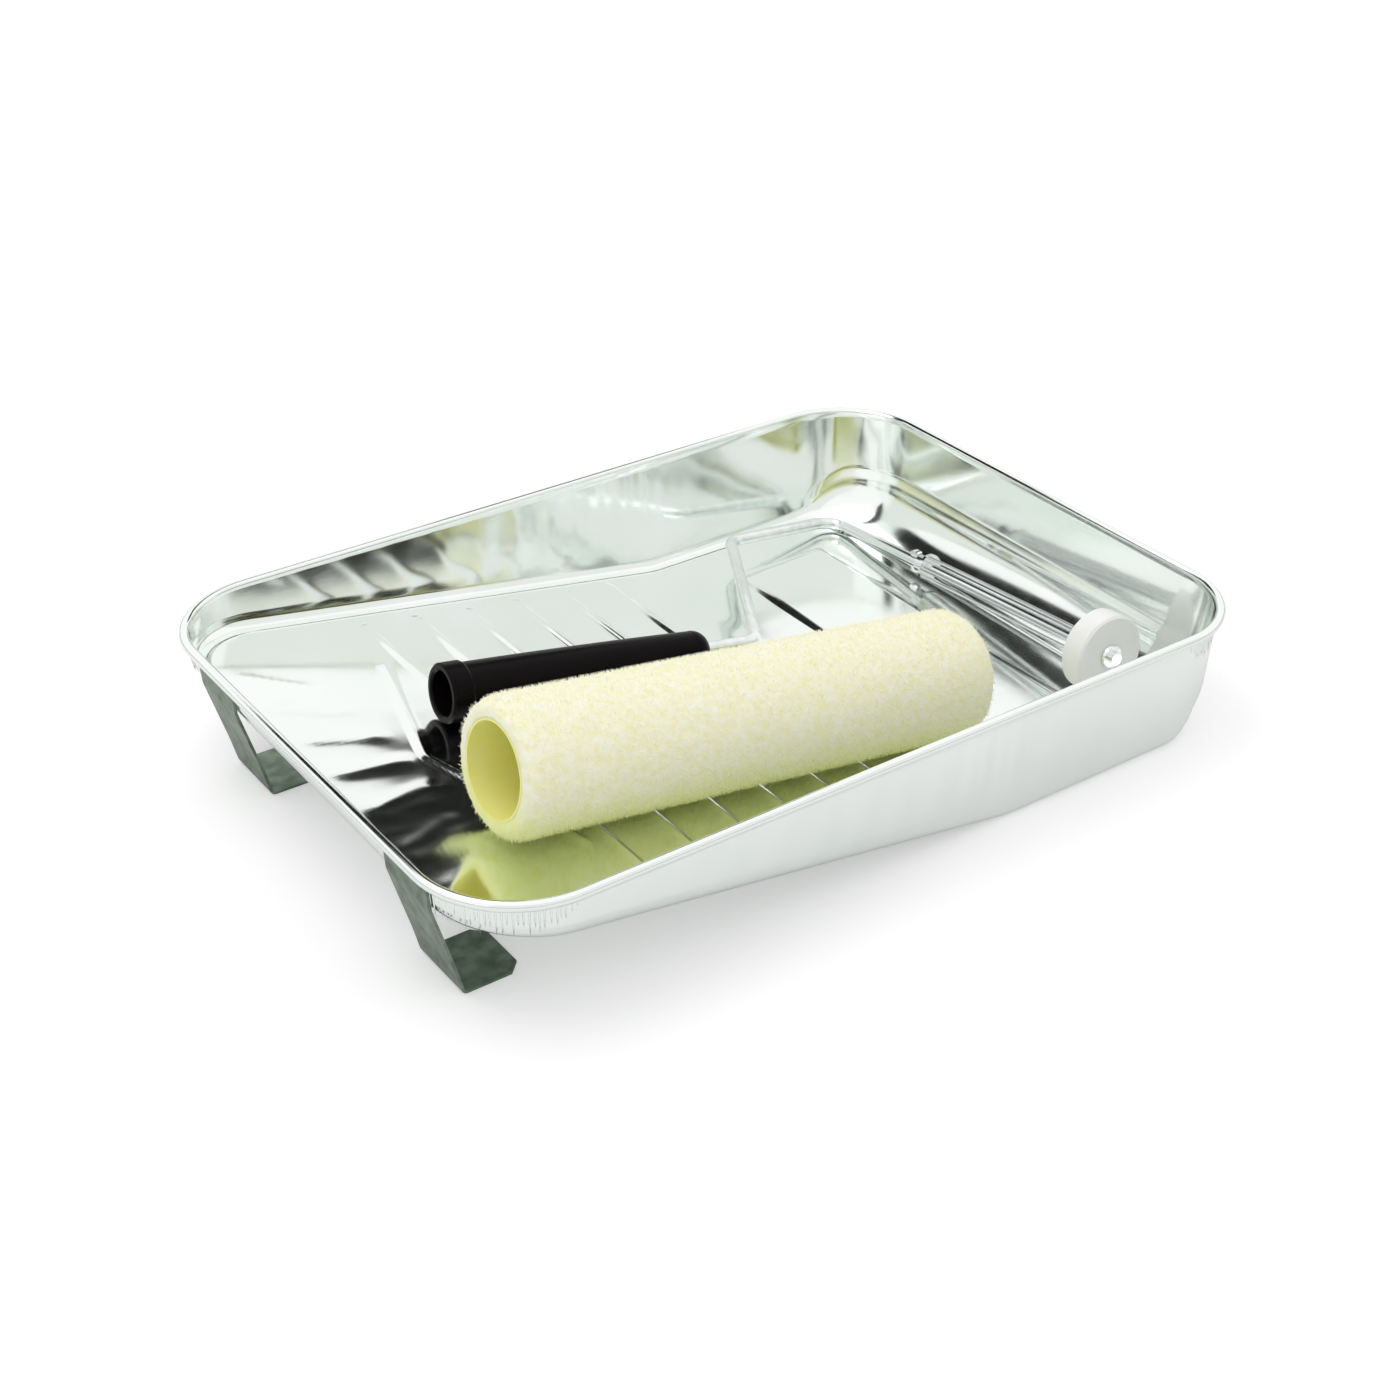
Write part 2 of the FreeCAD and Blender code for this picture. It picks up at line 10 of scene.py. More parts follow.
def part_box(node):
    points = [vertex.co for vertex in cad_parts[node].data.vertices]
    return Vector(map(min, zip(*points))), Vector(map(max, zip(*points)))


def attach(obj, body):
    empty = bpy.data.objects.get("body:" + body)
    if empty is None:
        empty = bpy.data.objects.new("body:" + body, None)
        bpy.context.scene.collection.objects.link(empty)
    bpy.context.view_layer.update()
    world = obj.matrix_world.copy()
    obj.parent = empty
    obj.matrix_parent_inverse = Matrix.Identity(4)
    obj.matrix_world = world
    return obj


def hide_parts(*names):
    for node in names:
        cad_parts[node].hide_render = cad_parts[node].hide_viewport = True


# Looks of the paint roller tray, its roller frame and the loose roller cover.
# Metres, in the CAD frame: +X towards the deep end, +Y towards the far side.

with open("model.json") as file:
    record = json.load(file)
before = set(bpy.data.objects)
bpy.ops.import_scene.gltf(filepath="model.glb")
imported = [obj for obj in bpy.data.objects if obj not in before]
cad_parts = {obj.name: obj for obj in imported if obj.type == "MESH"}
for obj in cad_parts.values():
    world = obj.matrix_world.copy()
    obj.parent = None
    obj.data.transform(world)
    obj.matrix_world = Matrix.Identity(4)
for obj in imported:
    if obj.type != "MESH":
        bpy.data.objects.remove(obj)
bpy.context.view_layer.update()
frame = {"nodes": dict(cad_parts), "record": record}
MM = 0.001

# ---------------------------------------------------------------- sizes
PAN_LOW, PAN_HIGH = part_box("tray_pan")
HALF_L = (PAN_HIGH.x - PAN_LOW.x) / 2
HALF_W = (PAN_HIGH.y - PAN_LOW.y) / 2
HEIGHT = PAN_HIGH.z
SHEET = 0.7 * MM
BEAD_R = 2.2 * MM
CORNER_R = 45 * MM
WALL_INSET = 3 * MM
WALL_LEAN = 3.4 * MM
FOLD_R = 5.3 * MM
DEEP_FOLD_R = 24.3 * MM
RAMP_FOOT = HALF_L - 138 * MM
RAMP_TOP = 42 * MM
FOOT_BLEND = 5 * MM
SHALLOW_WALL = -HALF_L + WALL_INSET + WALL_LEAN * (1 - RAMP_TOP / HEIGHT)
RAMP_SLOPE = RAMP_TOP / (RAMP_FOOT - SHALLOW_WALL)
RIB_FIRST = -HALF_L + 92 * MM
RIB_PITCH = 26.4 * MM
RIB_COUNT = 6
RIB_HALF_LENGTH = HALF_W - 19.5 * MM
RIB_HALF_WIDTH = 2.9 * MM
RIB_HEIGHT = 1.1 * MM
CHEVRON_TIP = -HALF_L + 58 * MM
CHEVRON_END = CHEVRON_TIP + 24 * MM
CHEVRON_HALF_SPAN = 82 * MM
CHEVRON_HALF_WIDTH = 3.4 * MM
PANEL_LOW = RAMP_FOOT + 29 * MM
PANEL_HIGH = PANEL_LOW + 54 * MM
PANEL_HALF_WIDTH = HALF_W - 40.5 * MM
PANEL_HEIGHT = 1 * MM
PANEL_EDGE = 2.5 * MM
CREASE_COUNT = 7
CREASE_INSET = 13 * MM
CREASE_LENGTH = 44 * MM
CREASE_FAR_HALF_WIDTH = 3.5 * MM
CREASE_NEAR_HALF_WIDTH = 6.5 * MM
CREASE_FAR_HEIGHT = 0.4 * MM
CREASE_NEAR_HEIGHT = 0.85 * MM
DISH_X = -158 * MM           # middle of the shallow dish in the near corner of the ramp
DISH_Y = -78 * MM
DISH_HALF_LENGTH = 48 * MM
DISH_HALF_WIDTH = 62 * MM
DISH_DEPTH = 2.2 * MM
PUCKER_X = 47 * MM           # where the long walls are most puckered, and how far either side
PUCKER_REACH = 24 * MM
CORE_R = 20.05 * MM          # outside of the cover's core tube
PILE_R = 27.9 * MM           # to the roots of the loose fibres
PILE_END_R = 22.8 * MM
PILE_INNER_R = 20.1 * MM
PILE_BEVEL = 8.0 * MM
PILE_REACH = 29.2 * MM       # no fibre stands out further than this
FIBRE_COUNT = 36000
FIBRE_LENGTH = 2.1 * MM
FIBRE_WIDTH = 0.36 * MM
SWIRL_SHIFT = Vector((50, 50, 50))
PLEAT_PITCH = 2.1 * MM
PLEAT_LENGTH = 13 * MM


def smooth(t):
    t = np.clip(t, 0, 1)
    return t * t * (3 - 2 * t)


# ---------------------------------------------------------------- node helpers
def new_material(name):
    """A material with a Principled shader and a coordinate node for its patterns."""
    material = bpy.data.materials.new(name)
    material.use_nodes = True
    nodes = material.node_tree.nodes
    shader = nodes["Principled BSDF"]
    place = nodes.new("ShaderNodeTexCoord")
    return material, shader, place.outputs["Object"]


def noise_node(material, place, scale, detail=3.0, stretch=(1, 1, 1)):
    """Noise over the object's own coordinates, stretched by a mapping."""
    tree = material.node_tree
    mapping = tree.nodes.new("ShaderNodeMapping")
    mapping.inputs["Scale"].default_value = stretch
    tree.links.new(place, mapping.inputs["Vector"])
    texture = tree.nodes.new("ShaderNodeTexNoise")
    texture.inputs["Scale"].default_value = scale
    texture.inputs["Detail"].default_value = detail
    tree.links.new(mapping.outputs["Vector"], texture.inputs["Vector"])
    return texture.outputs["Fac"]


def ramp_node(material, value, stops):
    """Colour ramp over a value: stops are (position, colour)."""
    tree = material.node_tree
    ramp = tree.nodes.new("ShaderNodeValToRGB")
    elements = ramp.color_ramp.elements
    while len(elements) < len(stops):
        elements.new(0.5)
    for element, (position, colour) in zip(elements, stops):
        element.position = position
        element.color = (*colour, 1)
    tree.links.new(value, ramp.inputs["Fac"])
    return ramp.outputs["Color"]


def range_node(material, value, low, high):
    """Maps a 0 to 1 value to low to high."""
    tree = material.node_tree
    mapper = tree.nodes.new("ShaderNodeMapRange")
    mapper.inputs["To Min"].default_value = low
    mapper.inputs["To Max"].default_value = high
    tree.links.new(value, mapper.inputs["Value"])
    return mapper.outputs["Result"]


def bump_node(material, shader, value, strength, distance):
    tree = material.node_tree
    bump = tree.nodes.new("ShaderNodeBump")
    bump.inputs["Strength"].default_value = strength
    bump.inputs["Distance"].default_value = distance
    tree.links.new(value, bump.inputs["Height"])
    tree.links.new(bump.outputs["Normal"], shader.inputs["Normal"])


# ---------------------------------------------------------------- materials
def tinplate():
    """Bright tinned sheet: a cool grey-green mirror with faint grain and handling haze."""
    material, shader, place = new_material("bright_tinplate")
    shader.inputs["Metallic"].default_value = 1
    cloud = noise_node(material, place, 18, 4)
    colour = ramp_node(material, cloud, [(0.3, (0.91, 0.96, 0.92)), (0.7, (0.96, 0.985, 0.965))])
    material.node_tree.links.new(colour, shader.inputs["Base Color"])
    haze = noise_node(material, place, 55, 5, (1, 3, 3))
    rough = range_node(material, haze, 0.08, 0.17)
    material.node_tree.links.new(rough, shader.inputs["Roughness"])
    grain = noise_node(material, place, 900, 2, (0.15, 1, 1))
    bump_node(material, shader, grain, 0.02, 0.0002)
    return material


def galvanised():
    """Dull grey steel strap with spangle and small scuffs."""
    material, shader, place = new_material("grey_steel")
    shader.inputs["Metallic"].default_value = 0.85
    spangle = noise_node(material, place, 160, 3)
    colour = ramp_node(material, spangle, [(0.3, (0.13, 0.17, 0.125)), (0.7, (0.27, 0.34, 0.265))])
    material.node_tree.links.new(colour, shader.inputs["Base Color"])
    wear = noise_node(material, place, 60, 5)
    rough = range_node(material, wear, 0.32, 0.52)
    material.node_tree.links.new(rough, shader.inputs["Roughness"])
    bump_node(material, shader, spangle, 0.10, 0.0003)
    return material


def black_plastic():
    """Satin moulded plastic with a faint moulding grain and handling marks."""
    material, shader, place = new_material("black_plastic")
    cloud = noise_node(material, place, 70, 4, (0.3, 1, 1))
    colour = ramp_node(material, cloud, [(0.3, (0.003, 0.002, 0.002)), (0.8, (0.006, 0.004, 0.005))])
    material.node_tree.links.new(colour, shader.inputs["Base Color"])
    shader.inputs["Specular IOR Level"].default_value = 0.07
    rough = range_node(material, cloud, 0.22, 0.34)
    material.node_tree.links.new(rough, shader.inputs["Roughness"])
    grain = noise_node(material, place, 1600, 2)
    bump_node(material, shader, grain, 0.10, 0.0002)
    return material


def plated(name, low, high):
    """Bright plated wire or rod with fine drawing lines along it."""
    material, shader, place = new_material(name)
    shader.inputs["Metallic"].default_value = 1
    lines = noise_node(material, place, 240, 3, (1, 0.1, 1))
    colour = ramp_node(material, lines, [(0.3, low), (0.7, high)])
    material.node_tree.links.new(colour, shader.inputs["Base Color"])
    rough = range_node(material, lines, 0.10, 0.22)
    material.node_tree.links.new(rough, shader.inputs["Roughness"])
    bump_node(material, shader, lines, 0.05, 0.0001)
    return material


def white_plastic():
    """Glossy white moulding with slight mottling."""
    material, shader, place = new_material("white_plastic")
    cloud = noise_node(material, place, 90, 3)
    colour = ramp_node(material, cloud, [(0.3, (0.94, 0.95, 0.93)), (0.7, (0.98, 0.98, 0.97))])
    material.node_tree.links.new(colour, shader.inputs["Base Color"])
    rough = range_node(material, cloud, 0.28, 0.38)
    material.node_tree.links.new(rough, shader.inputs["Roughness"])
    bump_node(material, shader, cloud, 0.05, 0.0002)
    return material


def core_board():
    """Resin-treated yellow board with wound fibres."""
    material, shader, place = new_material("core_board")
    fibres = noise_node(material, place, 220, 5, (0.4, 1, 1))
    colour = ramp_node(material, fibres, [(0.25, (0.96, 0.93, 0.26)), (0.75, (0.98, 0.96, 0.40))])
    material.node_tree.links.new(colour, shader.inputs["Base Color"])
    shader.inputs["Roughness"].default_value = 0.7
    bump_node(material, shader, fibres, 0.25, 0.0004)
    return material


def pile_fabric():
    """Cream knitted pile with a random tufty tone and painted light: deeper yellow low in the pile
    as painted shade between the tufts, paler fibre tips as a painted highlight, and a painted
    greenish shade underneath.
    """
    material, shader, place = new_material("pile_fabric")
    tree = material.node_tree
    tufts = noise_node(material, place, 330, 5)
    height = tree.nodes.new("ShaderNodeAttribute")
    height.attribute_name = "fibre"
    blend = tree.nodes.new("ShaderNodeMath")
    blend.operation = "MULTIPLY_ADD"
    blend.inputs[1].default_value = 0.35
    tree.links.new(height.outputs["Fac"], blend.inputs[0])
    tree.links.new(tufts, blend.inputs[2])
    # Random tufts plus 0.35 times the fibre value (0 on the sleeve, 0.15 at fibre roots, 1 at tips):
    # this ramp gives a random tone and also paints shade deep yellow low in the pile and a painted
    # highlight pale at the tips.
    fine = ramp_node(material, blend.outputs[0],
                     [(0.34, (0.965, 0.94, 0.60)), (0.56, (0.988, 0.975, 0.77)),
                      (0.85, (1.0, 0.997, 0.90))])
    # Points that face down get a painted greenish shade. It stands for the shade and the
    # yellow-green light thrown up from the tray below.
    under = tree.nodes.new("ShaderNodeAttribute")
    under.attribute_name = "under"
    wide = ramp_node(material, under.outputs["Fac"],
                     [(0.0, (1.0, 1.0, 1.0)), (1.0, (0.93, 0.97, 0.56))])
    mix = tree.nodes.new("ShaderNodeMix")
    mix.data_type = "RGBA"
    mix.blend_type = "MULTIPLY"
    mix.inputs["Factor"].default_value = 1
    tree.links.new(fine, mix.inputs[6])
    tree.links.new(wide, mix.inputs[7])
    tree.links.new(mix.outputs[2], shader.inputs["Base Color"])
    shader.inputs["Roughness"].default_value = 0.9
    shader.inputs["Sheen Weight"].default_value = 0.3
    shader.inputs["Sheen Roughness"].default_value = 0.5
    bump_node(material, shader, tufts, 0.5, 0.0010)
    return material


# ---------------------------------------------------------------- tray pan
def wall_inset(z):
    """From the rim's outer edge in to the wall's inner face at that height."""
    return WALL_INSET + SHEET + WALL_LEAN * (1 - z / HEIGHT)


def line_distance(x, y, start, end):
    """Distance from points to a straight run, in plan."""
    run = np.subtract(end, start)
    share = np.clip(((x - start[0]) * run[0] + (y - start[1]) * run[1]) / (run @ run), 0, 1)
    return np.hypot(x - start[0] - share * run[0], y - start[1] - share * run[1])


def creases():
    """Creases that pressing leaves by the shallow end: start, run, half width and height.
    They stand evenly along the end's straight part, fan towards the ramp's middle, and grow
    from the far side to the near side."""
    low_x = -HALF_L + CREASE_INSET
    middle = np.array([(SHALLOW_WALL + RAMP_FOOT) / 2, 0])
    reach = HALF_W - CORNER_R
    for share in np.linspace(0, 1, CREASE_COUNT):
        start = np.array([low_x, reach * (1 - 2 * share)])
        aim = middle - start
        run = aim / np.linalg.norm(aim) * CREASE_LENGTH
        half_width = CREASE_FAR_HALF_WIDTH * (1 - share) + CREASE_NEAR_HALF_WIDTH * share
        height = CREASE_FAR_HEIGHT * (1 - share) + CREASE_NEAR_HEIGHT * share
        yield start, run, half_width, height


def buckles(x, y):
    """Shallow waves that pressing leaves in the thin sheet near the shallow end."""
    from_end = x + HALF_L - 8 * MM
    fade = smooth(1 - from_end / (78 * MM)) * smooth(from_end / (6 * MM))
    spread = y + 0.35 * from_end * np.sign(y)
    z = 0.10 * MM * np.sin(spread / (5.3 * MM) + 0.8) * fade
    for start, run, half_width, height in creases():
        dx, dy = x - start[0], y - start[1]
        share = np.clip((dx * run[0] + dy * run[1]) / CREASE_LENGTH ** 2, 0, 1)
        across = (dy * run[0] - dx * run[1]) / CREASE_LENGTH / half_width
        z = z + height * np.exp(-across ** 2) * smooth(np.sin(math.pi * share) * 1.3)
    dished = smooth(1 - np.hypot((x - DISH_X) / DISH_HALF_LENGTH, (y - DISH_Y) / DISH_HALF_WIDTH))
    return z - DISH_DEPTH * dished


def floor_height(x, y):
    """Upper face of the floor, the ramp and all that is pressed into them."""
    over = (RAMP_FOOT - x) * RAMP_SLOPE
    soft = FOOT_BLEND * RAMP_SLOPE
    z = np.where(over > soft, over, np.where(over < -soft, 0, (over + soft) ** 2 / (4 * soft)))
    z = z + SHEET
    along = smooth((RIB_HALF_LENGTH - np.abs(y)) / (2 * MM) + 0.5)
    for i in range(RIB_COUNT):
        offset = np.abs(x - RIB_FIRST - i * RIB_PITCH) / RIB_HALF_WIDTH
        z = z + RIB_HEIGHT * smooth(1 - offset) * along
    tip = (CHEVRON_TIP, 0)
    reach = np.minimum(line_distance(x, y, tip, (CHEVRON_END, -CHEVRON_HALF_SPAN)),
                       line_distance(x, y, tip, (CHEVRON_END, CHEVRON_HALF_SPAN)))
    z = z + RIB_HEIGHT * smooth(1 - reach / CHEVRON_HALF_WIDTH)
    inside = np.minimum.reduce([x - PANEL_LOW, PANEL_HIGH - x, PANEL_HALF_WIDTH - np.abs(y)])
    z = z + PANEL_HEIGHT * smooth(inside / PANEL_EDGE)
    return z + buckles(x, y)


def floor_columns(low, high):
    """Places across the floor, close together where something narrow is pressed."""
    fine = [(RIB_FIRST + i * RIB_PITCH, RIB_HALF_WIDTH) for i in range(RIB_COUNT)]
    fine += [(PANEL_LOW + PANEL_EDGE / 2, PANEL_EDGE), (PANEL_HIGH - PANEL_EDGE / 2, PANEL_EDGE)]
    columns = [low]
    while columns[-1] < high:
        x = columns[-1]
        narrow = any(abs(x - middle) < reach + 0.6 * MM for middle, reach in fine)
        chevron = CHEVRON_TIP - 4 * MM < x < CHEVRON_END + 4 * MM
        puckered = abs(x - PUCKER_X) < 1.6 * PUCKER_REACH
        step = 0.75 if narrow else 1.2 if chevron else 1.4 if puckered else 3.0
        columns.append(x + step * MM)
    columns = np.array(columns)
    return low + (columns - low) * (high - low) / (columns[-1] - low)


def outline(columns, row_count, corner_count):
    """The pan's plan outline, anticlockwise: anchors on the corner-centre rectangle and outward
    directions. A point at inset s lies at anchor + direction * (CORNER_R - s)."""
    ax, ay = HALF_L - CORNER_R, HALF_W - CORNER_R
    middle = np.linspace(-ay, ay, row_count)
    quarter = np.linspace(0, math.pi / 2, corner_count + 1)[1:]
    side = [((ax, y), (1, 0)) for y in middle]
    upper = [((ax, ay), (math.cos(a), math.sin(a))) for a in quarter]
    lower = [((ax, -ay), (math.cos(a), -math.sin(a))) for a in quarter[::-1]]
    right = lower + side + upper
    share = (columns - columns[0]) / (columns[-1] - columns[0])
    top = [((ax * (1 - 2 * s), ay), (0, 1)) for s in (1 - share[::-1])[1:-1]]
    left = [((-a[0], a[1]), (-d[0], d[1])) for a, d in right[::-1]]
    bottom = [((ax * (2 * s - 1), -ay), (0, -1)) for s in share[1:-1]]
    loop = right + top + left + bottom
    anchors = np.array([a for a, d in loop])
    directions = np.array([d for a, d in loop], float)
    return anchors, directions, len(right), len(top)


def coons(loop, side, top):
    """Grid of points that fills a closed outline given as right, top, left and bottom runs."""
    count = side * 2 + top * 2
    right = loop[:side]
    left = loop[side + top:2 * side + top][::-1]
    upper = np.vstack([left[-1:], loop[side:side + top][::-1], right[-1:]])
    lower = np.vstack([left[:1], loop[2 * side + top:count], right[:1]])
    widths = np.linalg.norm(np.diff(lower, axis=0), axis=1)
    u = np.concatenate([[0], np.cumsum(widths)]) / widths.sum()
    heights = np.linalg.norm(np.diff(right, axis=0), axis=1)
    v = np.concatenate([[0], np.cumsum(heights)]) / heights.sum()
    u, v = u[None, :, None], v[:, None, None]
    grid = (1 - v) * lower[None] + v * upper[None] + (1 - u) * left[:, None] + u * right[:, None]
    grid -= (1 - u) * (1 - v) * lower[0] + u * (1 - v) * lower[-1]
    return grid - (1 - u) * v * upper[0] - u * v * upper[-1]


def crimps(anchors, directions):
    """How far the sheet is gathered at each corner, along the outline: upright waves."""
    angle = np.arctan2(np.abs(directions[:, 1]), np.abs(directions[:, 0]))
    return smooth(np.sin(2 * angle) * 1.2) * np.cos(angle * 16)


def pleat_ridges(first):
    """Fine upright ridges outside each corner, where the sheet is gathered under the bead."""
    rng = random.Random(3)
    points, faces = [], []
    count = int(CORNER_R * math.pi / 2 / PLEAT_PITCH)
    corners = [(sx, sy) for sx in (-1, 1) for sy in (-1, 1)]
    for sx, sy in corners:
        for i in range(1, count):
            angle = (i + rng.uniform(-0.2, 0.2)) / count * math.pi / 2
            out = np.array([sx * math.cos(angle), sy * math.sin(angle), 0])
            along = np.array([-sx * math.sin(angle), sy * math.cos(angle), 0])
            centre = np.array([sx * (HALF_L - CORNER_R), sy * (HALF_W - CORNER_R), 0])
            length = PLEAT_LENGTH * rng.uniform(0.6, 1.1) * min(1, 3 * math.sin(2 * angle) + 0.2)
            rise = rng.uniform(0.28, 0.55) * MM
            base = first + len(points)
            for share, swell in ((0, 0), (0.15, 1), (0.6, 0.7), (1, 0)):
                z = HEIGHT - 2 * BEAD_R + 0.6 * MM - length * share
                reach = CORNER_R - wall_inset(z) + SHEET
                for a in range(4) if swell else (0,):
                    turn = a * math.pi / 2
                    offset = out * (rise * swell * math.cos(turn) - (0 if swell else 0.1 * MM))
                    offset = offset + along * (0.45 * MM * swell * math.sin(turn))
                    points.append(centre + out * reach + offset + np.array([0, 0, z]))
            for a in range(4):
                n = (a + 1) % 4
                faces.append((base, base + 1 + n, base + 1 + a)[::-sx * sy])
                faces.append((base + 1 + a, base + 1 + n, base + 5 + n, base + 5 + a)[::-sx * sy])
                faces.append((base + 5 + a, base + 5 + n, base + 9)[::-sx * sy])
    return points, faces


def flutes(x, z):
    """Upright waves in the long walls, where the deep drawing has puckered the sheet."""
    rise = smooth(z / (12 * MM)) * smooth((HEIGHT - z) / (14 * MM))
    middle = np.exp(-((x + 2 * MM) / (95 * MM)) ** 2)
    drift = 0.6 * np.sin(z / (9 * MM)) + 0.9 * np.sin(x / (33 * MM))
    waves = np.sin(x / (3.4 * MM) + drift) * 0.4 + np.sin(x / (7.9 * MM) - drift) * 0.4
    puckers = np.sin(x / (1.35 * MM) + 0.7 * drift) * np.exp(-((x - PUCKER_X) / PUCKER_REACH) ** 2)
    return waves * rise * (0.08 + middle) + 0.32 * puckers * smooth((z - 14 * MM) / (14 * MM))


def wall_rings(anchors, directions, fold_r, floor_z):
    """Rings of the inner face, from the floor's edge up the fold and wall to under the bead."""
    rings = []
    lean = math.atan(WALL_LEAN / HEIGHT)
    pleats = crimps(anchors, directions)
    long_wall = np.abs(directions[:, 1]) > 0.999
    foot_inset = WALL_INSET + SHEET + WALL_LEAN * (1 - floor_z / HEIGHT)
    for turn in np.linspace(0, math.pi / 2 - lean, 10)[1:]:
        inset = foot_inset + fold_r * (1 - np.sin(turn))
        rings.append((inset, floor_z + fold_r * (1 - np.cos(turn))))
    wall_low = rings[-1][1]
    wall_top = HEIGHT - BEAD_R
    for share in np.linspace(0, 1, 15)[1:]:
        z = wall_low + (wall_top - wall_low) * share
        swell = 0.28 * MM * flutes(anchors[:, 0], z) * long_wall
        gather = 0.10 * MM * pleats * smooth(np.array(share * 1.6 - 0.5))
        rings.append((wall_inset(z) + swell + gather, z))
    return rings


def bead_rings(anchors, directions):
    """Rings round the rolled rim, from the inner face over the top to under the outer side."""
    pleats = crimps(anchors, directions)
    rings = []
    for turn in np.linspace(math.radians(165), math.radians(-110), 16):
        radius = BEAD_R + 0.05 * MM * pleats * (turn < 0.6)
        inset = BEAD_R - radius * math.cos(turn)
        rings.append((inset, HEIGHT - BEAD_R + radius * math.sin(turn)))
    return rings


def mesh_object(name, points, faces, material, smooth_faces=True):
    mesh = bpy.data.meshes.new(name)
    mesh.from_pydata(points.tolist(), [], faces)
    mesh.polygons.foreach_set("use_smooth", [smooth_faces] * len(mesh.polygons))
    mesh.materials.append(material)
    mesh.update()
    piece = bpy.data.objects.new(name, mesh)
    bpy.context.scene.collection.objects.link(piece)
    return piece


def grid_faces(rows, columns, start, flip):
    faces = []
    for j in range(rows - 1):
        for i in range(columns - 1):
            a = start + j * columns + i
            face = (a, a + 1, a + 1 + columns, a + columns)
            faces.append(face[::-1] if flip else face)
    return faces


def grid_border(rows, columns, start, side, top):
    """Indices round a grid in the order of the outline: right, top, left, bottom."""
    right = [start + j * columns + columns - 1 for j in range(rows)]
    upper = [start + (rows - 1) * columns + i for i in range(columns - 2, 0, -1)]
    left = [start + j * columns for j in range(rows - 1, -1, -1)]
    lower = [start + i for i in range(1, columns - 1)]
    return right + upper + left + lower


def pan_mesh(material):
    """The pan as one closed sheet: inside face, rolled bead, outside face and underside."""
    floor_low = -HALF_L + wall_inset(RAMP_TOP) + FOLD_R
    floor_high = HALF_L - wall_inset(0) - DEEP_FOLD_R
    columns = floor_columns(floor_low, floor_high)
    anchors, directions, side, top = outline(columns, 84, 16)
    rows, cols = side, top + 2
    deep = smooth((anchors[:, 0] - (HALF_L - CORNER_R - 40 * MM)) / (40 * MM))
    deep = deep * smooth(1.3 * directions[:, 0])
    fold_r = FOLD_R + (DEEP_FOLD_R - FOLD_R) * deep

    def at(inset, z):
        flat = anchors + directions * (CORNER_R - inset)[:, None]
        return np.column_stack([flat, np.broadcast_to(z, len(flat))])

    base_x = anchors[:, 0] + directions[:, 0] * (CORNER_R - 10 * MM)
    base_z = np.maximum(RAMP_FOOT - base_x, 0) * RAMP_SLOPE
    edge_inset = wall_inset(base_z) + fold_r
    border = anchors + directions * (CORNER_R - edge_inset)[:, None]
    grid = coons(border, side, top)
    gx, gy = grid[..., 0], grid[..., 1]
    gz = floor_height(gx, gy)
    inside_floor = np.column_stack([gx.ravel(), gy.ravel(), gz.ravel()])
    under_z = gz - SHEET
    outside_floor = np.column_stack([gx.ravel(), gy.ravel(), under_z.ravel()])
    count = rows * cols
    border_ids = grid_border(rows, cols, 0, side, top)
    floor_z = inside_floor[border_ids, 2]

    inner = [at(inset, z) for inset, z in wall_rings(anchors, directions, fold_r, floor_z)]
    bead = [at(np.broadcast_to(inset, len(anchors)), z)
            for inset, z in bead_rings(anchors, directions)]
    outer = []
    for ring, rise in zip(inner, np.linspace(0, 1, len(inner))):
        below = ring.copy()
        below[:, :2] += directions * SHEET
        below[:, 2] -= SHEET * (1 - smooth(np.array(rise * 3)))
        outer.append(below)
    rings = inner + bead + outer[::-1][1:]
    points = np.vstack([inside_floor, outside_floor, *rings])
    faces = grid_faces(rows, cols, 0, False) + grid_faces(rows, cols, count, True)
    loops = [border_ids]
    for i in range(len(rings)):
        start = 2 * count + i * len(anchors)
        loops.append(list(range(start, start + len(anchors))))
    loops.append([i + count for i in border_ids])
    for low, high in zip(loops, loops[1:]):
        for k in range(len(anchors)):
            n = (k + 1) % len(anchors)
            faces.append((low[k], high[k], high[n], low[n])[::-1])
    pleat_points, pleat_faces = pleat_ridges(len(points))
    points = np.vstack([points, pleat_points])
    return mesh_object("tray_pan_sheet", points, faces + pleat_faces, material)


# ---------------------------------------------------------------- roller cover
def cover_frame():
    """Centre, axis and two directions square to it, from the cover's bore mount."""
    mount = next(m for m in frame["record"]["mounts"] if m["name"] == "cover_bore")
    axis = Vector(mount["axis"]).normalized()
    side = axis.orthogonal().normalized()
    return Vector(mount["pos_m"]), axis, side, axis.cross(side)


def pile_profile(length):
    """(distance along, radius, outward slant) from one end's inner edge to the other's."""
    profile = [(0, r, -1.0) for r in np.linspace(PILE_INNER_R, PILE_END_R, 4)]
    bevel = []
    for turn in np.linspace(0, math.pi / 2, 11)[1:]:
        along = PILE_BEVEL * (1 - math.cos(turn))
        radius = PILE_END_R + (PILE_R - PILE_END_R) * math.sin(turn)
        bevel.append((along, radius, -math.cos(turn)))
    profile += bevel
    for along in np.linspace(PILE_BEVEL, length - PILE_BEVEL, 130)[1:-1]:
        profile.append((along, PILE_R, 0.0))
    profile += [(length - along, radius, -slant) for along, radius, slant in bevel[::-1]]
    profile += [(length, r, 1.0) for r in np.linspace(PILE_END_R, PILE_INNER_R, 4)]
    return profile


def tuft_height(point):
    """How far the pile stands up at a point: clumps of fibre over a slightly uneven nap."""
    clumps = noise.noise(point / (3.2 * MM)) * 0.30 + noise.noise(point / (8 * MM)) * 0.22
    return (clumps + noise.noise(point / (30 * MM)) * 0.30) * MM


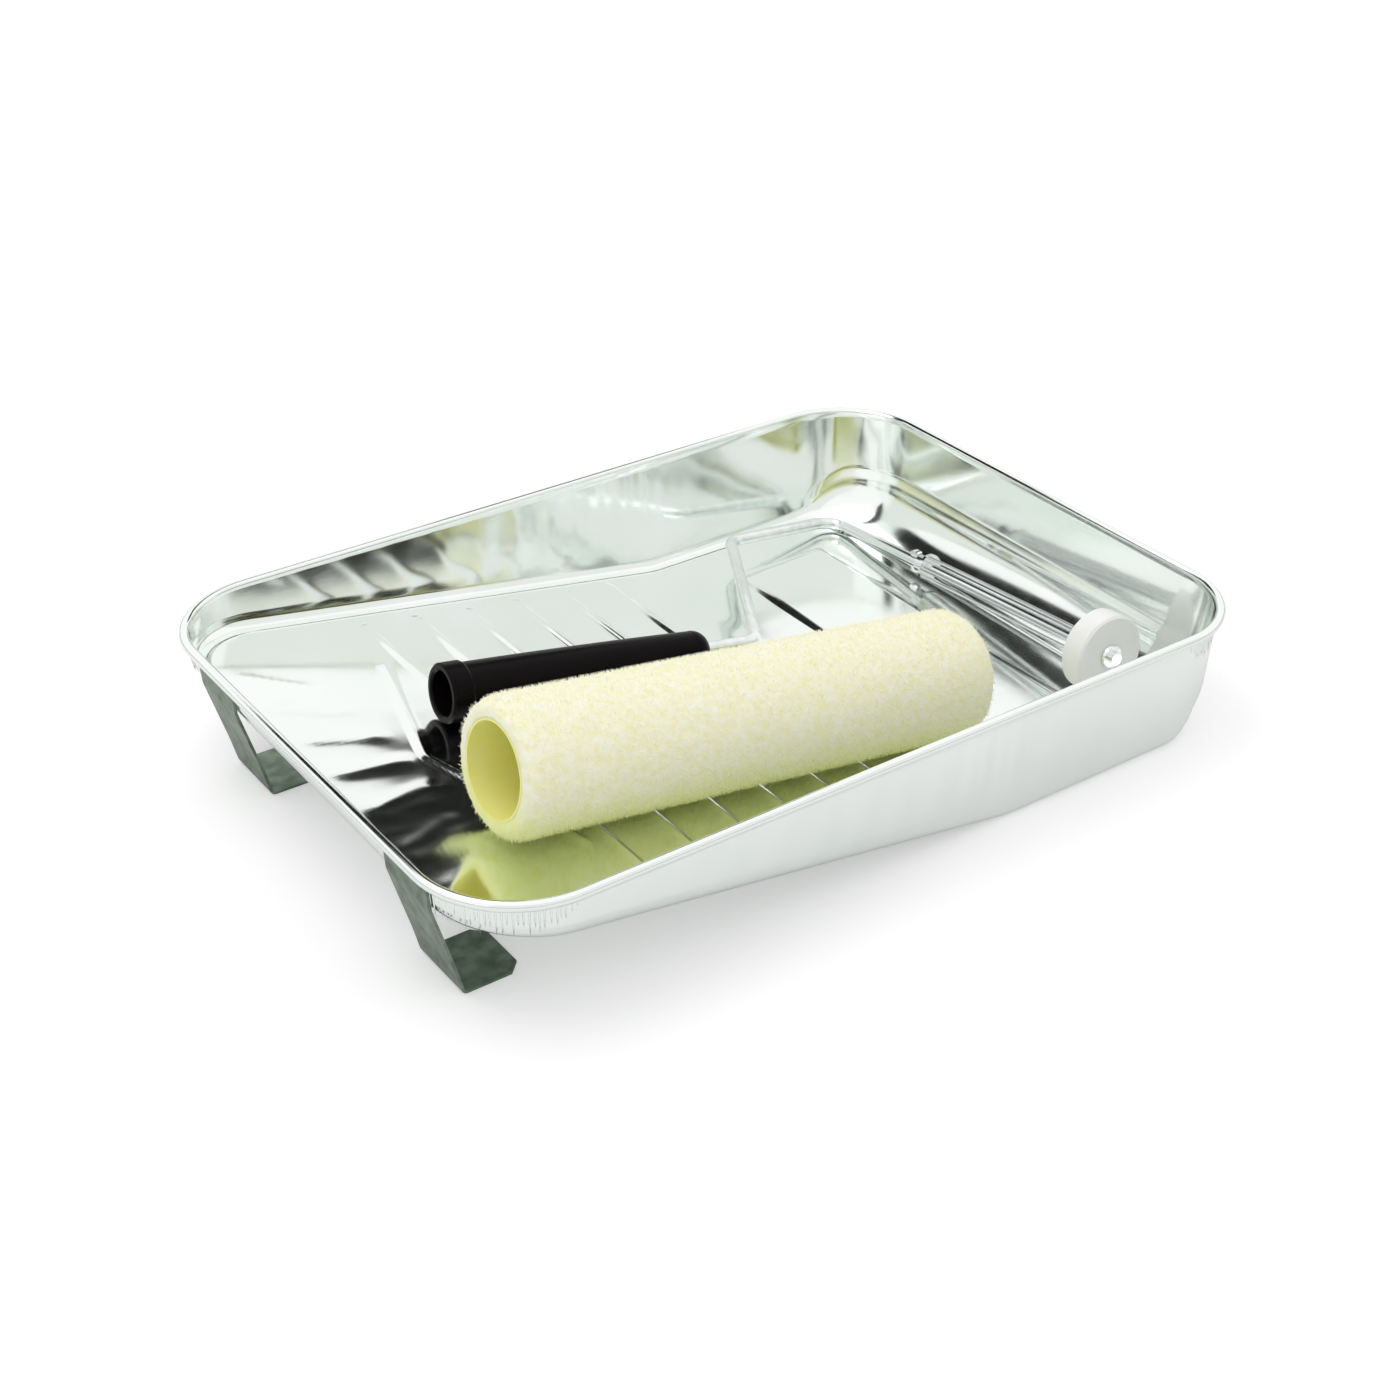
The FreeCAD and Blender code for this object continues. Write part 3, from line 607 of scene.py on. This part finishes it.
def pile_mesh(material):
    """The knitted pile as a closed sleeve with loose fibres standing out of it."""
    centre, axis, side, other = cover_frame()
    low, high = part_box("cover_core")
    reach = (Vector(high) - Vector(low)).dot(Vector((abs(axis.x), 0, 0)))
    length = (reach - 2 * CORE_R * abs(axis.z)) / axis.x ** 2
    start = centre - axis * (length / 2)
    profile = pile_profile(length)
    around = 168
    points, faces, heights, underside_shade_mask = [], [], [], []
    for along, radius, slant in profile:
        for k in range(around):
            angle = 2 * math.pi * k / around
            outward = side * math.cos(angle) + other * math.sin(angle)
            point = start + axis * along + outward * radius
            way = (outward * math.sqrt(1 - slant * slant) + axis * slant).normalized()
            lift = tuft_height(point) * (0.4 if abs(slant) == 1 else 1)
            points.append(point + way * lift)
            heights.append(0.0)
            underside_shade_mask.append(-outward.z)
    rings = len(profile)
    for j in range(rings):
        following = (j + 1) % rings
        for k in range(around):
            n = (k + 1) % around
            faces.append((j * around + k, following * around + k, following * around + n,
                          j * around + n))
    sleeve = len(faces)
    rng = random.Random(7)
    for _ in range(FIBRE_COUNT):
        along = rng.uniform(0.2 * MM, length - 0.2 * MM)
        edge = min(along, length - along, PILE_BEVEL)
        radius = PILE_END_R + (PILE_R - PILE_END_R) * math.sqrt(1 - (1 - edge / PILE_BEVEL) ** 2)
        angle = rng.uniform(0, 2 * math.pi)
        outward = side * math.cos(angle) + other * math.sin(angle)
        tangent = side * -math.sin(angle) + other * math.cos(angle)
        point = start + axis * along + outward * radius
        point += outward * (tuft_height(point) - 0.2 * MM)
        place = point / (6 * MM)
        swirl_along = noise.noise(place) * 0.5
        swirl_round = noise.noise(place + SWIRL_SHIFT) * 0.5
        lean = axis * (swirl_along + rng.gauss(0, 0.5)) + tangent * (swirl_round + rng.gauss(0, 0.5))
        tip = point + (outward + lean).normalized() * FIBRE_LENGTH * rng.uniform(0.5, 1.2)
        arm = tip - start - axis * (tip - start).dot(axis)
        tip -= arm * max(0, 1 - PILE_REACH / arm.length)
        turn = rng.uniform(0, 2 * math.pi)
        first = len(points)
        heights += [0.15, 0.15, 0.15, 1.0]
        underside_shade_mask += [-outward.z] * 4
        for corner in range(3):
            a = turn + corner * 2 * math.pi / 3
            points.append(point + (axis * math.cos(a) + tangent * math.sin(a)) * FIBRE_WIDTH / 2)
        points.append(tip)
        faces += [(first, first + 1, first + 3), (first + 1, first + 2, first + 3),
                  (first + 2, first, first + 3), (first + 2, first + 1, first)]
    piece = mesh_object("cover_pile_nap", np.array(points), faces, material)
    rounded = [i < sleeve for i in range(len(faces))]
    piece.data.polygons.foreach_set("use_smooth", rounded)
    # The fibre value marks height in the pile for the painted shade at the roots and the painted
    # highlight at the tips.
    values = piece.data.attributes.new("fibre", "FLOAT", "POINT")
    values.data.foreach_set("value", heights)
    # The under value, how far each point faces down, drives the painted greenish underside shade.
    values = piece.data.attributes.new("under", "FLOAT", "POINT")
    values.data.foreach_set("value", smooth((np.array(underside_shade_mask) + 0.05) / 0.9))
    return piece


# ---------------------------------------------------------------- stage, light and camera
def studio_floor():
    """Pale floor that is white to the camera and a little darker in reflections."""
    mesh = bpy.data.meshes.new("floor")
    reach = 6
    mesh.from_pydata([(-reach, -reach, 0), (reach, -reach, 0), (reach, reach, 0),
                      (-reach, reach, 0)], [], [(0, 1, 2, 3)])
    floor = bpy.data.objects.new("floor", mesh)
    bpy.context.scene.collection.objects.link(floor)
    material = bpy.data.materials.new("floor_paper")
    material.use_nodes = True
    tree = material.node_tree
    shader = tree.nodes["Principled BSDF"]
    shader.inputs["Base Color"].default_value = (0.82, 0.82, 0.82, 1)
    shader.inputs["Roughness"].default_value = 1
    shader.inputs["Specular IOR Level"].default_value = 0
    path = tree.nodes.new("ShaderNodeLightPath")
    seen = tree.nodes.new("ShaderNodeMath")
    seen.operation = "MULTIPLY"
    seen.inputs[1].default_value = 0.31
    tree.links.new(path.outputs["Is Camera Ray"], seen.inputs[0])
    glow = tree.nodes.new("ShaderNodeMath")
    glow.operation = "MULTIPLY_ADD"
    glow.inputs[1].default_value = 0.06
    tree.links.new(path.outputs["Is Glossy Ray"], glow.inputs[0])
    tree.links.new(seen.outputs[0], glow.inputs[2])
    shader.inputs["Emission Color"].default_value = (1, 1, 1, 1)
    tree.links.new(glow.outputs[0], shader.inputs["Emission Strength"])
    mesh.materials.append(material)


# A dark line near the horizon and a faint grey band, which only reflections show:
# darkness, lowest and highest elevation, then left and right azimuth from +Y, in degrees.
PANELS = [(0.92, 1, 5.5, -181, 181), (0.15, 8, 50, 120, 181), (0.15, 8, 50, -181, -120)]
# Black cards past the far side, which only reflections show, in metres:
# left and right, then lowest and highest.
CARDS = [(0.04, 0.25, 0.174, 0.42), (-0.30, 0.04, 0.25, 0.42)]
CARD_Y = 0.29


def studio_world():
    """Soft even light. In reflections the room is white with the dark bands of PANELS."""
    world = bpy.data.worlds.new("studio")
    bpy.context.scene.world = world
    world.use_nodes = True
    tree = world.node_tree
    nodes, links = tree.nodes, tree.links
    back = nodes["Background"]
    back.inputs["Color"].default_value = (1, 1, 1, 1)
    place = nodes.new("ShaderNodeTexCoord")
    split = nodes.new("ShaderNodeSeparateXYZ")
    links.new(place.outputs["Generated"], split.inputs[0])

    def maths(kind, first, second):
        node = nodes.new("ShaderNodeMath")
        node.operation = kind
        for socket, value in zip(node.inputs, (first, second)):
            if isinstance(value, float):
                socket.default_value = value
            else:
                links.new(value, socket)
        return node.outputs[0]

    def between(value, low, high, soft):
        """1 where the value is from low to high, with soft edges."""
        sides = []
        for edge, way in ((low, 1.0), (high, -1.0)):
            step = nodes.new("ShaderNodeMapRange")
            step.interpolation_type = "SMOOTHSTEP"
            step.inputs["From Min"].default_value = edge - soft * way / 2
            step.inputs["From Max"].default_value = edge + soft * way / 2
            links.new(value, step.inputs["Value"])
            sides.append(step.outputs["Result"])
        return maths("MULTIPLY", *sides)

    rise = maths("ARCSINE", split.outputs["Z"], 0.0)
    turn = maths("ARCTAN2", split.outputs["X"], split.outputs["Y"])
    dark = 0.0
    for level, low, high, left, right in PANELS:
        tall = between(rise, math.radians(low), math.radians(high), 0.02)
        wide = between(turn, math.radians(left), math.radians(right), 0.05)
        dark = maths("MAXIMUM", dark, maths("MULTIPLY", maths("MULTIPLY", tall, wide), level))
    bright = maths("SUBTRACT", 1.0, dark)
    mirror = nodes.new("ShaderNodeBackground")
    mirror.inputs["Strength"].default_value = 1.0
    tint = nodes.new("ShaderNodeCombineColor")
    for i in range(3):
        links.new(bright, tint.inputs[i])
    links.new(tint.outputs[0], mirror.inputs["Color"])
    back.inputs["Strength"].default_value = 0.85
    sky = nodes.new("ShaderNodeBackground")
    sky.inputs["Color"].default_value = (1, 1, 1, 1)
    path = nodes.new("ShaderNodeLightPath")
    first = nodes.new("ShaderNodeMixShader")
    second = nodes.new("ShaderNodeMixShader")
    links.new(path.outputs["Is Glossy Ray"], first.inputs["Fac"])
    links.new(back.outputs[0], first.inputs[1])
    links.new(mirror.outputs[0], first.inputs[2])
    links.new(path.outputs["Is Camera Ray"], second.inputs["Fac"])
    links.new(first.outputs[0], second.inputs[1])
    links.new(sky.outputs[0], second.inputs[2])
    links.new(second.outputs[0], nodes["World Output"].inputs["Surface"])


def dark_cards():
    """Black cards behind the set that only reflections show."""
    material = bpy.data.materials.new("black_card")
    material.use_nodes = True
    shader = material.node_tree.nodes["Principled BSDF"]
    shader.inputs["Base Color"].default_value = (0.008, 0.010, 0.008, 1)
    shader.inputs["Roughness"].default_value = 1
    shader.inputs["Specular IOR Level"].default_value = 0
    for left, right, low, high in CARDS:
        corners = [(left, low), (right, low), (right, high), (left, high)]
        mesh = bpy.data.meshes.new("dark_card")
        mesh.from_pydata([(x, CARD_Y, z) for x, z in corners], [], [(0, 1, 2, 3)])
        mesh.materials.append(material)
        card = bpy.data.objects.new("dark_card", mesh)
        bpy.context.scene.collection.objects.link(card)
        card.visible_camera = False
        card.visible_diffuse = False
        card.visible_shadow = False


def area_light(name, place, target, width, watts):
    lamp = bpy.data.lights.new(name, "AREA")
    lamp.shape = "RECTANGLE"
    lamp.size = width
    lamp.size_y = width * 0.7
    lamp.energy = watts
    holder = bpy.data.objects.new(name, lamp)
    holder.location = place
    holder.rotation_euler = (Vector(target) - Vector(place)).to_track_quat("-Z", "Y").to_euler()
    bpy.context.scene.collection.objects.link(holder)


# The camera: degrees, then the point it looks at in mm, its distance in m and its lens in mm.
CAMERA_AZIMUTH = -35.35
CAMERA_ELEVATION = 31.75
CAMERA_TARGET = (-7.58, -5.45, 16.67)
CAMERA_DISTANCE = 0.9402
CAMERA_LENS = 55.45


def camera():
    """Three-quarter view from the near left, above the shallow end."""
    azimuth, elevation = math.radians(CAMERA_AZIMUTH), math.radians(CAMERA_ELEVATION)
    target = Vector(CAMERA_TARGET) * MM
    back = Vector((math.sin(azimuth) * math.cos(elevation),
                   -math.cos(azimuth) * math.cos(elevation), math.sin(elevation)))
    data = bpy.data.cameras.new("camera")
    data.sensor_width = 36
    data.lens = CAMERA_LENS
    holder = bpy.data.objects.new("camera", data)
    holder.location = target + back * CAMERA_DISTANCE
    holder.rotation_euler = (-back).to_track_quat("-Z", "Y").to_euler()
    bpy.context.scene.collection.objects.link(holder)
    bpy.context.scene.camera = holder


# ---------------------------------------------------------------- build
camera()
studio_floor()
studio_world()
dark_cards()
area_light("key", (-0.5, 0.4, 1.6), (0, 0, 0), 1.2, 5)
bpy.context.scene.view_settings.view_transform = "Standard"

looks = {"tinplate": tinplate(), "galvanised": galvanised(), "black": black_plastic(),
         "rod": plated("plated_rod", (0.80, 0.84, 0.83), (0.92, 0.94, 0.94)),
         "wire": plated("plated_wire", (0.74, 0.78, 0.77), (0.88, 0.90, 0.90)),
         "white": white_plastic(), "core": core_board(), "pile": pile_fabric()}
FINISHES = {"leg_near": "galvanised", "leg_far": "galvanised", "handle_grip": "black",
            "bent_rod": "rod", "push_nut": "rod", "cage_hub": "rod", "end_cap": "white",
            "cover_core": "core", "cover_pile": "pile"}
for name, node in frame["nodes"].items():
    finish = "wire" if name.startswith("cage_wire") else FINISHES.get(name, "tinplate")
    node.data.materials.clear()
    node.data.materials.append(looks[finish])

pile = pile_mesh(looks["pile"])
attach(pile, "roller_cover")
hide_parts("cover_pile")

pan = pan_mesh(looks["tinplate"])
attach(pan, "tray")
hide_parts("tray_pan")
